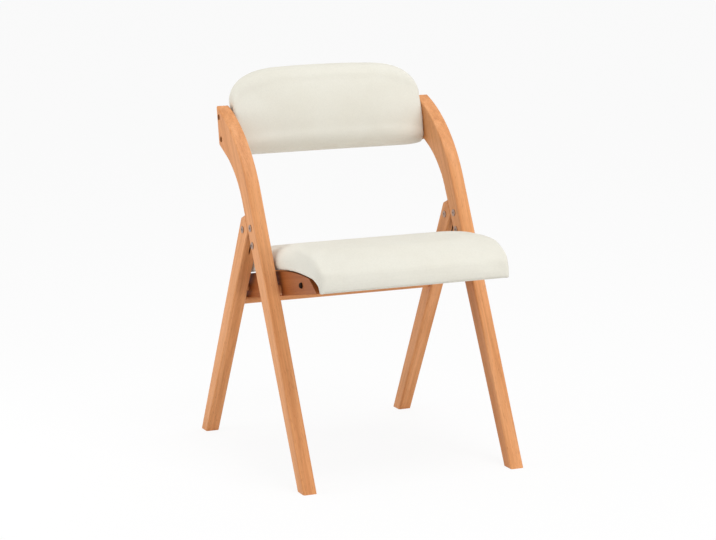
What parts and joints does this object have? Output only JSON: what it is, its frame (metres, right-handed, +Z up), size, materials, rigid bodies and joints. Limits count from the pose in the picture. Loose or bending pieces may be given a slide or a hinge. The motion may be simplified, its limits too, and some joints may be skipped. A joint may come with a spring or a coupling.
{
  "type": "padded folding chair",
  "caption": "Wooden folding chair with raked front legs bent back to a padded backrest, hinged rear legs and a padded seat that swings up to fold flat.",
  "frame": {"origin": "on the floor under the middle of the open chair's bounding box", "axes": "+Z up, -Y towards the front of the seat, X across from the sitter's right at -X to left at +X"},
  "size_m": [0.4764, 0.5539, 0.7693],
  "materials": {
    "beech": "oiled, warm orange-brown beech with fine grain",
    "plywood": "plain plywood, covered by the upholstery",
    "cover_fabric": "off-white woven cover over foam",
    "plated_steel": "zinc plated",
    "dark_steel": "blackened, set in counterbores"
  },
  "bodies": {
    "front_frame": {"front_leg_left": "beech", "front_leg_right": "beech", "front_crossbar": "beech", "hinge_plate_left": "plated_steel", "hinge_plate_right": "plated_steel", "hinge_plate_sleeves": "plated_steel", "hinge_plate_screws": "plated_steel", "backrest_board": "plywood", "backrest_pad_front": "cover_fabric", "backrest_pad_rear": "cover_fabric", "backrest_bolts": "dark_steel", "backrest_inserts": "plated_steel"},
    "rear_frame": {"rear_leg_left": "beech", "rear_leg_right": "beech", "rear_crossbar": "beech", "hinge_pivot_sleeves": "plated_steel", "hinge_pivot_screws": "plated_steel", "seat_pivot_inserts": "plated_steel", "seat_pivot_bolts": "plated_steel", "seat_pivot_spacers": "beech"},
    "seat": {"seat_rail_left": "beech", "seat_rail_right": "beech", "seat_front_rail": "beech", "seat_rear_rail": "beech", "rail_bolts": "dark_steel", "rail_barrel_nuts": "dark_steel", "rail_dowels": "beech", "seat_panel": "plywood", "seat_panel_screws": "plated_steel", "seat_cushion": "cover_fabric"}
  },
  "joints": [
    {"name": "rear_legs_fold", "type": "hinge", "parent": "front_frame", "child": "rear_frame", "pos_m": [0, 0.02899, 0.465], "axis": [-1, 0, 0], "range_deg": [0, 55]},
    {"name": "seat_fold", "type": "hinge", "parent": "rear_frame", "child": "seat", "pos_m": [0, 0.09277, 0.334], "axis": [-1, 0, 0], "range_deg": [0, 40]}
  ],
  "couplings": [
    {"joint": "seat_fold", "follows": "rear_legs_fold", "ratio": 0.72727}
  ]
}
